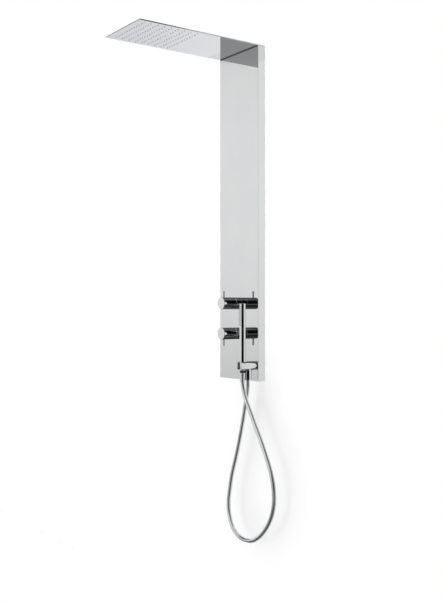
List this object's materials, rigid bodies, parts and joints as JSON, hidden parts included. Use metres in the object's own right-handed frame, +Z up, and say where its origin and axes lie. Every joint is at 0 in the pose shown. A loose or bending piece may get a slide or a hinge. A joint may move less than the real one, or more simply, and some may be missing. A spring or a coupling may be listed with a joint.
{
  "type": "rainfall shower column",
  "caption": "Wall shower column: a folded polished steel panel with a thin overhead spray head, turning lever controls, and a stick handset in a fork with its looping hose.",
  "frame": {"origin": "middle of the upper wall bracket's back face, on the wall's surface", "axes": "+X to the right for someone facing the wall, +Y into the wall, +Z up along the column"},
  "size_m": [0.4195, 0.56, 1.9214],
  "materials": {
    "polished_steel": "mirror polished stainless steel",
    "chrome": "bright chrome plate",
    "plain_steel": "plain mill finish",
    "brass": "machined brass",
    "silicone": "translucent light grey silicone",
    "seal_rubber": "black sealing rubber",
    "valve_plastic": "moulded dark plastic",
    "hose_skin": "smooth silver vinyl"
  },
  "bodies": {
    "root": {"cold_inlet": "brass", "cold_supply_pipe": "plain_steel", "column_panel": "polished_steel", "diverter_body": "brass", "diverter_cartridge": "valve_plastic", "diverter_retaining_nut": "brass", "diverter_seal": "seal_rubber", "diverter_sleeve": "chrome", "fork_liner": "valve_plastic", "head_bracket_left": "plain_steel", "head_bracket_right": "plain_steel", "head_gasket": "seal_rubber", "head_inlet": "brass", "head_inlet_nut": "brass", "head_screw_1": "plain_steel", "head_screw_2": "plain_steel", "head_screw_3": "plain_steel", "head_screw_4": "plain_steel", "head_shell": "polished_steel", "hose_outlet_nut": "chrome", "hot_inlet": "brass", "hot_supply_pipe": "plain_steel", "link_pipe": "plain_steel", "lower_bracket": "plain_steel", "lower_hanger": "plain_steel", "mixer_body": "brass", "mixer_cartridge": "valve_plastic", "mixer_retaining_nut": "brass", "mixer_seal": "seal_rubber", "mixer_sleeve": "chrome", "nozzle_mat": "silicone", "outlet_arm": "chrome", "outlet_elbow": "brass", "outlet_feed_pipe": "plain_steel", "outlet_spigot": "brass", "outlet_washer": "seal_rubber", "riser_nut": "brass", "riser_pipe": "plain_steel", "shower_hose": "hose_skin", "spray_plate": "polished_steel", "upper_bracket": "plain_steel", "upper_hanger": "plain_steel"},
    "mixer_control": {"mixer_spindle": "brass", "mixer_knob": "chrome", "mixer_cap": "chrome", "mixer_lever": "chrome", "mixer_grub_screw": "plain_steel"},
    "diverter_control": {"diverter_spindle": "brass", "diverter_knob": "chrome", "diverter_cap": "chrome", "diverter_lever": "chrome", "diverter_grub_screw": "plain_steel"},
    "hose_swivel": {"hose_cone": "chrome", "cone_washer": "seal_rubber"},
    "handset": {"handset_tube": "chrome", "handset_cap": "chrome", "handset_jets": "silicone", "handset_inlet": "brass"}
  },
  "joints": [
    {"name": "mixer_turn", "type": "hinge", "parent": "root", "child": "mixer_control", "pos_m": [0, 0, -0.898], "axis": [0, -1, 0], "range_deg": [-90, 90]},
    {"name": "diverter_turn", "type": "hinge", "parent": "root", "child": "diverter_control", "pos_m": [0, 0, -1.017], "axis": [0, -1, 0], "range_deg": [-90, 90]},
    {"name": "handset_lift", "type": "slide", "parent": "root", "child": "hose_swivel", "axis": [0, 0, 1], "range_m": [0, 0.09]},
    {"name": "handset_turn", "type": "hinge", "parent": "hose_swivel", "child": "handset", "pos_m": [0.105, -0.0937, -1.1], "axis": [0, 0, 1], "continuous": true}
  ]
}
